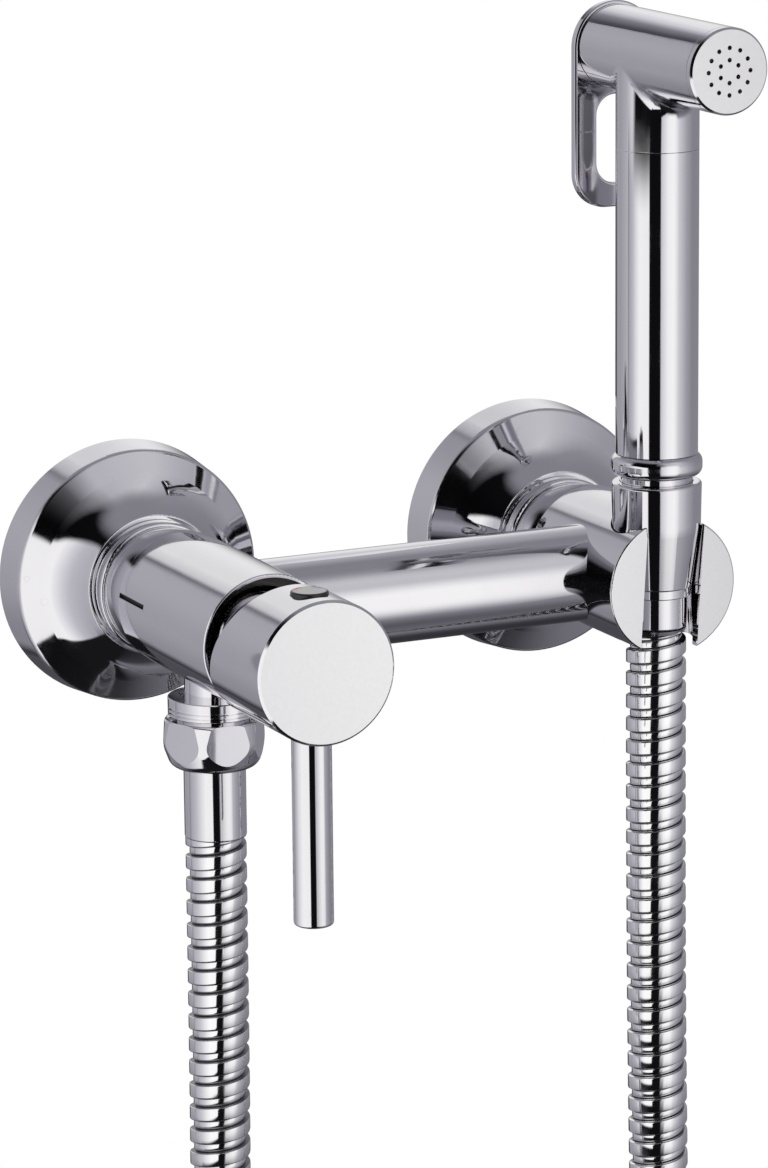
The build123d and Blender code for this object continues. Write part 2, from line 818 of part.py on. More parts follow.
def cone_nut():
    return turned_z(right, spray_depth, [
        (cone_bore_radius, cone_tip),
        (cone_tip_radius, cone_tip, 0.4),
        (cone_tip_radius, cone_foot - 0.4),
        (cone_foot_radius, cone_foot, 0.2),
        (cone_shoulder_radius, cone_shoulder, 20),
        (cone_top_radius, cone_top, 0.9),
        (hose_thread_radius + slip, cone_top),
        (hose_thread_radius + slip, cone_thread_bottom),
        (cone_bore_radius, cone_thread_bottom),
    ])


save("cone_nut", cone_nut())
upper_washer_bottom = upper_head + ferrule_head_height + end_gap
tail_bottom = upper_washer_bottom + washer_height
save("hose_washer_upper", ring_z(right, spray_depth, hose_thread_radius - 0.3,
                                 ferrule_bore_radius, upper_washer_bottom, tail_bottom))


# Hand spray: tail with its collar, grip tube, head, spray face

grip_tail = turned_z(right, spray_depth, [
    (tail_bore_radius, tail_bottom),
    (tail_thread_radius, tail_bottom, 0.6),
    (tail_thread_radius, tail_thread_top),
    (collar_radius, tail_thread_top, collar_round),
    (collar_radius, collar_top, collar_round),
    (grip_bore_radius - slip, collar_top),
    (grip_bore_radius - slip, collar_top + grip_spigot_length),
    (tail_bore_radius, collar_top + grip_spigot_length),
])
save("grip_tail", grip_tail)

save("grip_tube", turned_z(right, spray_depth, [
    (grip_bore_radius, collar_top),
    (grip_radius, collar_top),
    (grip_radius, grip_top, 0.3),
    (grip_bore_radius, grip_top),
]))


def head_body():
    barrel = rod_y(right, head_height, head_radius, head_rear_depth, head_front_depth)
    neck = rod_z(right, spray_depth, grip_radius, grip_top, head_height)
    shape = barrel + neck
    seam = [edge for edge in shape.edges() if edge.geom_type == GeomType.BSPLINE]
    shape = fillet(seam, head_blend)
    shape += rod_z(right, spray_depth, grip_bore_radius - slip, grip_top - grip_spigot_length,
                   grip_top + 1)
    shape -= rod_z(right, spray_depth, neck_bore_radius, grip_top - grip_spigot_length - 1,
                   head_height)
    shape -= rod_y(right, head_height, head_bore_radius, head_rear_depth - 1,
                   head_front_depth + 1)
    return shape


save("head_body", head_body())


spray_o_ring_depth = head_front_depth - face_spigot_length + 1.5
spray_o_ring_circle = head_bore_radius - o_ring_wire


def spray_face():
    start = head_front_depth - face_spigot_length
    shape = turned_y(0, [
        (0, face_depth - face_thickness),
        (face_cavity_radius, face_depth - face_thickness),
        (face_cavity_radius, start),
        (face_spigot_radius, start),
        (face_spigot_radius, head_front_depth),
        (head_radius, head_front_depth, 0.3),
        (head_radius, face_depth - face_bevel),
        (head_radius - face_bevel, face_depth),
        (0, face_depth),
    ])
    circles = ((outer_hole_circle, outer_hole_count), (inner_hole_circle, inner_hole_count))
    for circle, count in circles:
        for number in range(count):
            angle = pi / 2 + 2 * pi * number / count
            shape -= rod_y(circle * cos(angle), circle * sin(angle), hole_radius,
                           face_depth - face_thickness - 1, face_depth + 1)
    shape -= ring_y(0, 0, face_spigot_radius + 1, head_bore_radius - 2 * o_ring_wire,
                    spray_o_ring_depth - 1.1, spray_o_ring_depth + 1.1)
    return Pos(right, 0, head_height) * shape


save("spray_face", spray_face())
save("spray_o_ring", o_ring_y(right, head_height, spray_o_ring_circle, spray_o_ring_depth))


# Spray valve: gland, spring, stem with its disc, seal and seat; pulled open by the trigger

gland_radius = head_bore_radius - slip
gland = rod_y(right, head_height, gland_radius, head_rear_depth, gland_end)
gland -= rod_y(right, head_height, stem_radius + gland_running_gap, head_rear_depth - 1,
               gland_end + 1)
gland_groove = (head_rear_depth + gland_end) / 2
gland_ring_circle = stem_radius + gland_running_gap + o_ring_wire
gland -= ring_y(right, head_height, gland_ring_circle + o_ring_wire + 0.1, stem_radius,
                gland_groove - 1.1, gland_groove + 1.1)
save("stem_gland", gland)
save("stem_o_ring", o_ring_y(right, head_height, gland_ring_circle, gland_groove))

stem = rod_y(right, head_height, stem_radius, stem_start, stem_end)
stem += rod_y(right, head_height, valve_disc_radius, valve_disc_start, seal_start)
save("valve_stem", stem)
save("valve_seal", ring_y(right, head_height, valve_disc_radius, stem_radius,
                          seal_start, seal_end))
save("valve_seat", ring_y(right, head_height, gland_radius, seat_hole_radius,
                          seat_start, seat_end))

spring_start = gland_end + spring_seat_gap + spring_wire_radius
spring_end = valve_disc_start - end_gap - spring_wire_radius
spring_length = spring_end - spring_start
spring_path = Helix(spring_length / spring_turns, spring_length, spring_radius)
spring = sweep(Plane(spring_path @ 0, z_dir=spring_path % 0) * Circle(spring_wire_radius),
               path=spring_path)
save("valve_spring", Pos(right, -spring_start, head_height) * Rot(90, 0, 0) * spring)


def trigger_paddle():
    """A flat plate whose round top follows the head, with a finger window."""
    half = trigger_half_width
    top = head_height
    plate = outline([
        (-half, trigger_bottom, trigger_corner),
        (half, trigger_bottom, trigger_corner),
        (half, top + half, half - 0.01),
        (-half, top + half, half - 0.01),
    ])
    window_height = window_top - window_bottom
    window = Pos(0, (window_top + window_bottom) / 2) * Rot(0, 0, 90) * SlotOverall(
        window_height, 2 * window_half_width)
    stem_slot = Pos(0, top + stem_slot_rise / 2) * Rot(0, 0, 90) * SlotCenterToCenter(
        stem_slot_rise, 2 * stem_slot_radius)
    shape = extrude(Plane.XZ * (plate - window - stem_slot), trigger_thickness)
    ends = shape.faces().filter_by(Axis.Y)
    shape = fillet(ends.edges(), trigger_edge)
    return Pos(right, -trigger_rear_depth, 0) * shape


save("trigger_paddle", trigger_paddle())

nut_end = trigger_rear_depth - trigger_nut_gap
nut_start = nut_end - trigger_nut_height
trigger_nut = turned_y(right, [
    (0, nut_start),
    (trigger_nut_radius, nut_start, 1.4),
    (trigger_nut_radius, nut_end),
    (stem_radius, nut_end),
    (stem_radius, stem_start),
    (0, stem_start),
])
save("trigger_nut", Pos(0, 0, head_height) * trigger_nut)


# Hose: one ribbed tube on a hanging loop, through points chosen by hand

hose_points = [
    (left, -outlet_depth, -lower_ferrule_bottom),
    (left, -outlet_depth, -105),
    (-65.6, -66.5, -176),
    (-68.5, -68, -286),
    (-76, -70, -396),
    (-88.5, -71.5, -485),
    (-67.8, -73, -531.5),
    (-25.5, -75, -560),
    (25.5, -77, -560),
    (67.8, -79.5, -531.5),
    (88.5, -82, -485),
    (76, -84.5, -396),
    (68.5, -86.5, -286),
    (65.7, -86.5, -170),
    (right, -spray_depth, -80),
    (right, -spray_depth, -upper_ferrule_bottom - end_gap),
]


def corner_radii(points):
    """For each corner, 0.45 of the shorter run divided by the tangent of half the turn."""
    radii = []
    for before, at, after in zip(points, points[1:], points[2:]):
        run_in = Vector(*at) - Vector(*before)
        run_out = Vector(*after) - Vector(*at)
        half_turn = radians(run_in.get_angle(run_out)) / 2
        radii.append(0.45 * min(run_in.length, run_out.length) / tan(half_turn))
    return radii


hose_radii = corner_radii(hose_points)
hose_path = FilletPolyline(*hose_points, radius=hose_radii)
hose_length = hose_path.length
print("hose bend radii", [round(radius) for radius in hose_radii])


def hose_circle(along, radius):
    """A circle square to the hose's line, its X axis always towards +Y."""
    at = along / hose_length
    return Plane(hose_path @ at, x_dir=(0, 1, 0), z_dir=hose_path % at) * Circle(radius)


def hose_shape():
    """Ribs along the whole line, but for a straight plain end of one diameter each way."""
    plain_end = 2 * hose_radius
    rib_count = round((hose_length - 2 * plain_end) / hose_pitch)
    pitch = (hose_length - 2 * plain_end) / rib_count
    slope = hose_slope_share * pitch
    band = hose_band_share * pitch
    circles = [hose_circle(0, hose_waist_radius)]
    for rib in range(rib_count):
        start = plain_end + rib * pitch
        circles.append(hose_circle(start, hose_waist_radius))
        circles.append(hose_circle(start + slope, hose_radius))
        circles.append(hose_circle(start + slope + band, hose_radius))
        circles.append(hose_circle(start + 2 * slope + band, hose_waist_radius))
    circles.append(hose_circle(hose_length, hose_waist_radius))
    print("hose ribs", rib_count)
    outside = loft([circle.face() for circle in circles], ruled=True)
    bore = sweep(hose_circle(0, hose_bore_radius).face(), path=hose_path)
    return outside - bore


hose = hose_shape()
save("hose", hose)
mean_square = (hose_band_share + hose_slope_share) * hose_radius**2 + (
    1 - hose_band_share - hose_slope_share) * hose_waist_radius**2
plain_volume = pi * (mean_square - hose_bore_radius**2) * hose_length
print("hose length", round(hose_length, 1), "volume share", round(hose.volume / plain_volume, 3))
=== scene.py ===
from math import cos, pi, radians, sin

import bmesh
import bpy
from mathutils import Matrix, Vector


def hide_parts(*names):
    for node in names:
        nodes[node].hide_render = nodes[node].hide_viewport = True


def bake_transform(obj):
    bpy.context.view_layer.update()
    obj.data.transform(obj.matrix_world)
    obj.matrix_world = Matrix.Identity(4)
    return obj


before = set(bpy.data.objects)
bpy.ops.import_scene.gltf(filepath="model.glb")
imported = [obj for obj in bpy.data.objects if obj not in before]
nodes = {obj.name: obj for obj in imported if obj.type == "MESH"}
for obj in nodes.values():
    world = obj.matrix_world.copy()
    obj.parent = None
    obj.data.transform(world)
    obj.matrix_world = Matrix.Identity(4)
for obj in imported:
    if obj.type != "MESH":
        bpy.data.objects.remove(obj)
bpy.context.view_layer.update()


# Camera
# A long lens a metre and a half away, to the left of the set and a little above it,
# looking down at it and rolled by half a degree.
camera_place = Vector((-0.60347, -1.32891, 0.32596))
camera_turn = radians(-25.1025)
camera_drop = radians(13.0416)
camera_roll = radians(-0.5591)

camera_data = bpy.data.cameras.new("camera")
camera_data.lens = 155.51
camera_data.sensor_width = 36
camera_data.clip_start = 0.05
camera_data.clip_end = 50
camera = bpy.data.objects.new("camera", camera_data)
bpy.context.scene.collection.objects.link(camera)
camera.matrix_world = (
    Matrix.Translation(camera_place)
    @ Matrix.Rotation(camera_turn, 4, "Z")
    @ Matrix.Rotation(pi / 2 - camera_drop, 4, "X")
    @ Matrix.Rotation(camera_roll, 4, "Z")
)
bpy.context.scene.camera = camera
bpy.context.scene.view_settings.view_transform = "Standard"


# Studio
# The set stands in a room that is dark behind the camera, with a near white card on the
# left, a broad one in front and a small one high at the back, before plain white.
card_white = 1.15
blue_in_black = 1.19
blue_in_white = 0.98
floor_height = -0.600
floor_radius = 0.85


class Wiring:
    """Adds nodes to one tree and joins them. A value is a number, a tuple or a node's output."""

    def __init__(self, tree):
        self.tree = tree

    def feed(self, socket, value):
        if isinstance(value, bpy.types.NodeSocket):
            self.tree.links.new(value, socket)
        else:
            socket.default_value = value

    def add(self, kind, *values, **settings):
        """A node with its settings, its first inputs fed in order."""
        node = self.tree.nodes.new("ShaderNode" + kind)
        for name, value in settings.items():
            setattr(node, name, value)
        for socket, value in zip(node.inputs, values):
            self.feed(socket, value)
        return node

    def math(self, operation, *values):
        return self.add("Math", *values, operation=operation).outputs[0]

    def vector_math(self, operation, *values, output="Vector"):
        return self.add("VectorMath", *values, operation=operation).outputs[output]

    def ramp(self, value, low, high, bottom=0.0, top=1.0):
        """Goes smoothly from bottom to top as the value goes from low to high."""
        node = self.add("MapRange", value, low, high, bottom, top)
        node.interpolation_type = "SMOOTHSTEP"
        return node.outputs["Result"]

    def mix(self, share, one, other):
        """One colour where share is 0, the other where it is 1."""
        node = self.add("Mix", data_type="RGBA")
        self.feed(node.inputs["Factor"], share)
        self.feed(node.inputs[6], one)
        self.feed(node.inputs[7], other)
        return node.outputs[2]

    def tones(self, value, tones):
        """A colour ramp of greys, each at its share of the way, the darker ones a little colder."""
        node = self.add("ValToRGB", value)
        elements = node.color_ramp.elements
        blue_lost = blue_in_black - blue_in_white
        while len(elements) < len(tones):
            elements.new(0.5)
        for element, (share, tone) in zip(elements, tones):
            element.position = share
            element.color = (tone, tone, tone * (blue_in_black - blue_lost * tone), 1)
        return node.outputs["Color"]


def card(name, start, end, low, high, tones, rise=0.08, fade=0.92):
    """An upright card between two places on the plan, seen only in metal. Its lower and
    upper edges have a height at each end, and it is clear below rise and above fade."""
    corners = [(*start, low[0]), (*end, low[1]), (*end, high[1]), (*start, high[0])]
    data = bpy.data.meshes.new(name)
    data.from_pydata(corners, [], [(0, 1, 2, 3)])
    layer = data.uv_layers.new(name="plan")
    for loop, at in zip(layer.data, [(0, 0), (1, 0), (1, 1), (0, 1)]):
        loop.uv = at
    material = bpy.data.materials.new(name)
    material.use_nodes = True
    material.node_tree.nodes.clear()
    wire = Wiring(material.node_tree)
    place = wire.add("SeparateXYZ", wire.add("TexCoord").outputs["UV"])
    across, up = place.outputs["X"], place.outputs["Y"]
    edge = wire.math("MULTIPLY", wire.ramp(up, 0, rise), wire.ramp(up, 1, fade))
    glow = wire.add("Emission", wire.tones(across, tones), card_white)
    clear = wire.add("BsdfTransparent")
    blend = wire.add("MixShader", edge, clear.outputs["BSDF"], glow.outputs["Emission"])
    wire.add("OutputMaterial", blend.outputs["Shader"])
    data.materials.append(material)
    piece = bpy.data.objects.new(name, data)
    bpy.context.scene.collection.objects.link(piece)
    piece.visible_camera = False


# The cards' places and tones are set in the same way as the room's
card("left_card", (-0.238, -0.355), (-0.165, 0.02), (-0.285, -0.200), (0.075, 0.110),
     [(0, 0.0), (0.06, 0.90), (0.55, 0.93), (0.68, 0.76), (0.80, 0.52), (0.94, 0.38), (1, 0.2)])
card("front_card", (-0.070, -0.480), (0.260, -0.420), (-0.42, -0.42), (0.30, 0.30),
     [(0, 0.2), (0.05, 0.58), (0.15, 0.68), (0.45, 0.92), (0.75, 0.97), (1, 0.75)],
     rise=0.50, fade=0.66)
card("upper_flag", (-0.020, 0.240), (0.200, 0.240), (0.250, 0.250), (0.390, 0.390),
     [(0, 0.05), (0.10, 0.07), (0.4, 0.22), (0.7, 0.62), (1, 0.80)])


def room_world():
    """The room round the set, by bearing at several heights, and its white background."""
    world = bpy.data.worlds.new("room")
    bpy.context.scene.world = world
    world.use_nodes = True
    world.node_tree.nodes.clear()
    wire = Wiring(world.node_tree)
    way = wire.add("SeparateXYZ", wire.add("TexCoord").outputs["Generated"])
    outward = wire.math("MULTIPLY", way.outputs["Y"], -1)
    height = way.outputs["Z"]
    bearing = wire.math("ARCTAN2", way.outputs["X"], outward)
    turn = wire.math("ADD", wire.math("DIVIDE", bearing, 2 * pi), 0.5)

    def by_bearing(tones):
        """Tones by compass bearing: 0 is square out of the wall, and 90 is to the right."""
        return wire.tones(turn, [((bearing_at + 180) / 360, tone) for bearing_at, tone in tones])

    # Set by comparing the bands that the metal shows with the photograph's
    rounds = [
        (-0.92, [(-180, 0.010), (30, 0.010), (60, 0.13), (95, 0.20), (125, 0.05), (180, 0.010)]),
        (-0.62, [(-180, 0.08), (-176, 0.03), (-170, 0.22), (-110, 0.12), (-60, 0.005),
                 (5, 0.005), (30, 0.26), (60, 0.22), (90, 0.16), (136, 0.03), (180, 0.07)]),
        (-0.20, [(-180, 0.13), (-176, 0.05), (-171, 0.40), (-150, 0.38), (-122, 0.50),
                 (-102, 0.80), (-93, 0.005), (-8, 0.005), (-2, 0.90), (24, 0.90), (40, 0.66),
                 (60, 0.42), (84, 0.28), (138, 0.26), (150, 0.08), (180, 0.10)]),
        (0.25, [(-180, 0.95), (-172, 0.80), (-169, 0.12), (-165, 0.46), (-150, 0.44),
                (-122, 0.50), (-102, 0.75), (-93, 0.002), (-10, 0.002), (2, 0.60), (30, 0.62),
                (60, 0.38), (90, 0.27), (138, 0.22), (150, 0.90), (180, 0.95)]),
        (0.76, [(-180, 0.60), (-169, 0.30), (-120, 0.25), (-95, 0.004), (-30, 0.004), (0, 0.50),
                (35, 0.66), (75, 0.30), (120, 0.25), (150, 0.50), (180, 0.66)]),
        (0.97, [(-180, 0.26), (180, 0.26)]),
    ]
    below, tones = rounds[0]
    room = by_bearing(tones)
    for above, tones in rounds[1:]:
        room = wire.mix(wire.ramp(height, below, above), room, by_bearing(tones))
        below = above
    seen = wire.add("LightPath").outputs["Is Camera Ray"]
    background = wire.add("Background", wire.mix(seen, room, (1, 1, 1, 1)))
    wire.add("OutputWorld", background.outputs["Background"])


room_world()


def lamp(name, place, target, size, power):
    """A soft round lamp for what isn't metal: the metal reflects the cards and the room."""
    data = bpy.data.lights.new(name, "AREA")
    data.shape = "DISK"
    data.size = size
    data.energy = power
    piece = bpy.data.objects.new(name, data)
    piece.location = place
    towards = Vector(target) - Vector(place)
    piece.rotation_euler = towards.to_track_quat("-Z", "Y").to_euler()
    piece.visible_glossy = False
    piece.visible_camera = False
    bpy.context.scene.collection.objects.link(piece)


lamp("lamp_left", (-1.0, -1.1, 1.3), (0, 0, -0.2), 1.2, 16)
lamp("lamp_right", (1.2, -0.8, 1.0), (0, 0, -0.3), 1.4, 9)


def studio_floor():
    """A plain pale disc below the set."""
    mesh = bmesh.new()
    bmesh.ops.create_circle(mesh, cap_ends=True, segments=96, radius=floor_radius)
    data = bpy.data.meshes.new("studio_floor")
    mesh.to_mesh(data)
    mesh.free()
    material = bpy.data.materials.new("pale floor")
    material.use_nodes = True
    wire = Wiring(material.node_tree)
    shader = material.node_tree.nodes["Principled BSDF"]
    place = wire.add("TexCoord").outputs["Object"]
    mottle = wire.add("TexNoise", place)
    mottle.inputs["Scale"].default_value = 6
    shade = wire.mix(mottle.outputs["Fac"], (0.86, 0.86, 0.87, 1), (0.90, 0.90, 0.90, 1))
    wire.feed(shader.inputs["Base Color"], shade)
    shader.inputs["Roughness"].default_value = 0.9
    data.materials.append(material)
    piece = bpy.data.objects.new("studio_floor", data)
    piece.location = (0, -0.05, floor_height)
    piece.visible_glossy = False
    bpy.context.scene.collection.objects.link(piece)


studio_floor()


# Hose
# A stainless strip wound in a right-hand spiral and hooked into itself, over an inner
# tube. It hangs in a loop from the ferrule below the mixer to the one below the spray.
hose_pitch = 0.00676
hose_end_low = (-0.065, -0.066, -0.0640)
hose_end_high = (0.065, -0.086, -0.0135)
strip_columns = 48
hose_points = [
    hose_end_low,
    (-0.065, -0.066, -0.105),
    (-0.0656, -0.0665, -0.176),
    (-0.0685, -0.068, -0.286),
    (-0.076, -0.070, -0.396),
    (-0.0885, -0.0715, -0.485),
    (-0.0678, -0.073, -0.5315),
    (-0.0255, -0.075, -0.560),
    (0.0255, -0.077, -0.560),
    (0.0678, -0.0795, -0.5315),
    (0.0885, -0.082, -0.485),
    (0.076, -0.0845, -0.396),
    (0.0685, -0.0865, -0.286),
    (0.0657, -0.0865, -0.170),
    (0.065, -0.086, -0.080),
    hose_end_high,
]

# One turn of the strip, as shares of the pitch and radii: a broad raised band with
# rounded shoulders, a lower band beside it, and a crease at each side, dark with painted shade.
crease_radius = 0.0072
strip_profile = [
    (0.000, 0.00690),
    (0.016, 0.00710),
    (0.028, 0.00845),
    (0.044, 0.00862),
    (0.075, 0.00865),
    (0.535, 0.00865),
    (0.580, 0.00859),
    (0.605, 0.00838),
    (0.620, 0.00795),
    (0.632, 0.00700),
    (0.650, 0.00710),
    (0.665, 0.00742),
    (0.720, 0.00750),
    (0.900, 0.00752),
    (0.955, 0.00740),
    (0.975, 0.00710),
]


def new_group(name, given, results):
    """A shader node group with its sockets: names, kinds and starting values."""
    tree = bpy.data.node_groups.new(name, "ShaderNodeTree")
    for label, kind, value in given:
        socket = tree.interface.new_socket(label, in_out="INPUT", socket_type="NodeSocket" + kind)
        if value is not None:
            socket.default_value = value
    for label, kind in results:
        tree.interface.new_socket(label, in_out="OUTPUT", socket_type="NodeSocket" + kind)
    return tree, tree.nodes.new("NodeGroupInput").outputs, tree.nodes.new("NodeGroupOutput").inputs


def polish_group():
    """The skin of polished metal: slow ripples, polishing lines, faint smears, dried drops."""
    tree, given, results = new_group(
        "polish",
        [("Place", "Vector", None), ("Grain", "Vector", (300, 300, 300)),
         ("Tint", "Color", (0.8, 0.8, 0.8, 1)), ("Gloss", "Float", 0.04),
         ("Smear", "Float", 0.05)],
        [("Color", "Color"), ("Roughness", "Float"), ("Height", "Float")])
    wire = Wiring(tree)
    place = given["Place"]

    def noise(vector, scale, detail):
        node = wire.add("TexNoise", vector)
        node.inputs["Scale"].default_value = scale
        node.inputs["Detail"].default_value = detail
        return node.outputs["Fac"]

    ripple = noise(place, 38, 1.5)
    lines = noise(wire.vector_math("MULTIPLY", place, given["Grain"]), 1, 3)
    smear = wire.ramp(noise(place, 110, 6), 0.48, 0.78)
    drops = wire.add("TexVoronoi", place)
    drops.inputs["Scale"].default_value = 190
    drop_edge = wire.math("MULTIPLY", wire.ramp(drops.outputs["Distance"], 0.16, 0.20),
                          wire.ramp(drops.outputs["Distance"], 0.26, 0.21))
    chosen = wire.add("SeparateXYZ", drops.outputs["Color"]).outputs["X"]
    drop_mark = wire.math("MULTIPLY", drop_edge, wire.ramp(chosen, 0.86, 0.90))
    rough = wire.math("MULTIPLY", smear, given["Smear"])
    rough = wire.math("ADD", rough, given["Gloss"])
    rough = wire.math("MULTIPLY_ADD", lines, 0.02, rough)
    rough = wire.math("MULTIPLY_ADD", drop_mark, 0.10, rough)
    dull = wire.math("MULTIPLY_ADD", smear, 0.05, wire.math("MULTIPLY", drop_mark, 0.08))
    wire.feed(results["Color"], wire.mix(dull, given["Tint"], (0.55, 0.55, 0.58, 1)))
    wire.feed(results["Roughness"], rough)
    wire.feed(results["Height"], wire.math("MULTIPLY_ADD", lines, 0.03, ripple))
    return tree


def rim_group():
    """The worn line round the edge of a turned piece, patchy as handling leaves it."""
    tree, given, results = new_group(
        "rim wear",
        [("Place", "Vector", None), ("Centre", "Vector", (0, 0, 0)),
         ("Across", "Vector", (1, 0, 1)), ("Along", "Vector", (0, 1, 0)),
         ("Radius", "Float", 0.02), ("Height", "Float", 0.0), ("Width", "Float", 0.0007)],
        [("Worn", "Float")])
    wire = Wiring(tree)
    from_centre = wire.vector_math("SUBTRACT", given["Place"], given["Centre"])
    flat = wire.vector_math("MULTIPLY", from_centre, given["Across"])
    radius = wire.vector_math("LENGTH", flat, output="Value")
    height = wire.vector_math("DOT_PRODUCT", from_centre, given["Along"], output="Value")
    outward = wire.math("SUBTRACT", radius, given["Radius"])
    upward = wire.math("SUBTRACT", height, given["Height"])
    away = wire.math("SQRT", wire.math("MULTIPLY_ADD", outward, outward,
                                       wire.math("MULTIPLY", upward, upward)))
    near = wire.ramp(wire.math("DIVIDE", away, given["Width"]), 1, 0.2)
    patches = wire.add("TexNoise", given["Place"])
    patches.inputs["Scale"].default_value = 420
    patches.inputs["Detail"].default_value = 4
    patchy = wire.ramp(patches.outputs["Fac"], 0.35, 0.60, 0.35, 1)
    wire.feed(results["Worn"], wire.math("MULTIPLY", near, patchy))
    return tree


polish = polish_group()
rim_wear = rim_group()
chrome_tint = (0.805, 0.792, 0.815)
worn_tint = (0.86, 0.855, 0.87)


class Rim:
    """The edge of a turned piece: a point on its axis, the axis, a radius, a place along it."""

    axes = {"Y": (0, 1, 0), "Z": (0, 0, 1)}

    def __init__(self, centre, axis, radius, along, width=0.0007):
        self.centre = centre
        self.axis = self.axes[axis]
        self.across = tuple(1 - share for share in self.axis)
        self.radius = radius
        self.along = along
        self.width = width


class Skin:
    """A material made by one shader node group. Pieces add to its colour and roughness."""

    def __init__(self, name, group, values, depth):
        self.material = bpy.data.materials.new(name)
        self.material.use_nodes = True
        self.wire = Wiring(self.material.node_tree)
        self.shader = self.material.node_tree.nodes["Principled BSDF"]
        self.sources = self.wire.add("TexCoord").outputs
        self.place = self.sources["Object"]
        surface = self.place_group(group, (self.place, *values))
        self.color = surface["Color"]
        self.rough = surface["Roughness"]
        bump = self.wire.add("Bump")
        bump.inputs["Distance"].default_value = depth
        self.wire.feed(bump.inputs["Height"], surface["Height"])
        self.wire.feed(self.shader.inputs["Normal"], bump.outputs["Normal"])

    def place_group(self, group, values):
        node = self.material.node_tree.nodes.new("ShaderNodeGroup")
        node.node_tree = group
        for socket, value in zip(node.inputs, values):
            self.wire.feed(socket, value)
        return node.outputs

    def coat(self, *names):
        """Finishes the material and gives it to the named pieces."""
        self.wire.feed(self.shader.inputs["Base Color"], self.color)
        self.wire.feed(self.shader.inputs["Roughness"], self.rough)
        for name in names:
            give(name, self.material)
        return self.material


class Metal(Skin):
    """A metal of one tint and gloss, whose turned edges are worn."""

    def __init__(self, name, tint=chrome_tint, gloss=0.035, smear=0.05, grain=(300, 300, 300),
                 ripple=0.00005, rims=()):
        super().__init__(name, polish, (grain, (*tint, 1), gloss, smear), ripple)
        self.shader.inputs["Metallic"].default_value = 1
        for rim in rims:
            worn = self.place_group(rim_wear, (self.place, rim.centre, rim.across, rim.axis,
                                               rim.radius, rim.along, rim.width))["Worn"]
            self.color = self.wire.mix(worn, self.color, (*worn_tint, 1))
            self.rough = self.wire.math("MULTIPLY_ADD", worn, 0.14, self.rough)


def give(name, material):
    """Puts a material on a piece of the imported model."""
    nodes[name].data.materials.clear()
    nodes[name].data.materials.append(material)


def hanging_line(points):
    """The points of a smooth curve through the hose's route, read from its own spline."""
    curve = bpy.data.curves.new("hose route", "CURVE")
    curve.dimensions = "3D"
    curve.resolution_u = 24
    spline = curve.splines.new("NURBS")
    spline.points.add(len(points) - 1)
    for control, point in zip(spline.points, points):
        control.co = (*point, 1)
    spline.order_u = 3
    spline.use_endpoint_u = True
    holder = bpy.data.objects.new("hose route", curve)
    mesh = bpy.data.meshes.new_from_object(holder)
    line = [vertex.co.copy() for vertex in mesh.vertices]
    bpy.data.objects.remove(holder)
    return line


class Route:
    """Places along a line of points, by distance from its start."""

    def __init__(self, line):
        self.line = line
        self.marks = [0.0]
        for one, other in zip(line, line[1:]):
            self.marks.append(self.marks[-1] + (other - one).length)
        self.length = self.marks[-1]
        self.at = 0

    def place(self, along):
        """The point at a distance, and the direction of the line there."""
        along = min(max(along, 0), self.length)
        while self.at < len(self.marks) - 2 and self.marks[self.at + 1] < along:
            self.at += 1
        while self.at > 0 and self.marks[self.at] > along:
            self.at -= 1
        run = self.marks[self.at + 1] - self.marks[self.at]
        share = (along - self.marks[self.at]) / run
        point = self.line[self.at].lerp(self.line[self.at + 1], share)
        before = self.line[max(self.at - 1, 0)]
        here, after = self.line[self.at], self.line[self.at + 1]
        beyond = self.line[min(self.at + 2, len(self.line) - 1)]
        direction = (after - before).normalized().lerp((beyond - here).normalized(), share)
        return point, direction.normalized()


def wound_strip(name, route, pitch, profile, columns):
    """A tube whose surface is one strip: each column of points starts a little later."""
    mesh = bmesh.new()
    rows_per_turn = len(profile)
    turns = int(route.length / pitch) + 2
    rows = []
    in_crease = []
    for row in range(-rows_per_turn, turns * rows_per_turn):
        turn, step = divmod(row, rows_per_turn)
        share, radius = profile[step]
        in_crease.append(radius < crease_radius)
        ring = []
        for column in range(columns):
            along = (turn + share + column / columns) * pitch
            point, direction = route.place(along)
            side = Vector((0, 1, 0))
            side = (side - direction * side.dot(direction)).normalized()
            other = direction.cross(side)
            angle = 2 * pi * column / columns
            ring.append(mesh.verts.new(
                point + radius * (cos(angle) * side + sin(angle) * other)))
        rows.append(ring)
    for row, (ring, following) in enumerate(zip(rows, rows[1:])):
        faces = []
        for column in range(columns - 1):
            faces.append(mesh.faces.new((ring[column], ring[column + 1],
                                         following[column + 1], following[column])))
        if row + 1 + rows_per_turn < len(rows):
            faces.append(mesh.faces.new((ring[-1], rows[row + rows_per_turn][0],
                                         rows[row + 1 + rows_per_turn][0], following[-1])))
        # a face in a crease takes the second material, the painted crease shade
        for face in faces:
            face.material_index = 1 if in_crease[row] or in_crease[row + 1] else 0
    bmesh.ops.remove_doubles(mesh, verts=mesh.verts, dist=1e-6)
    bmesh.ops.recalc_face_normals(mesh, faces=mesh.faces)
    for edge in mesh.edges:
        edge.smooth = edge.calc_face_angle(0) < radians(50)
    data = bpy.data.meshes.new(name)
    mesh.to_mesh(data)
    mesh.free()
    for face in data.polygons:
        face.use_smooth = True
    piece = bpy.data.objects.new(name, data)
    bpy.context.scene.collection.objects.link(piece)
    return piece


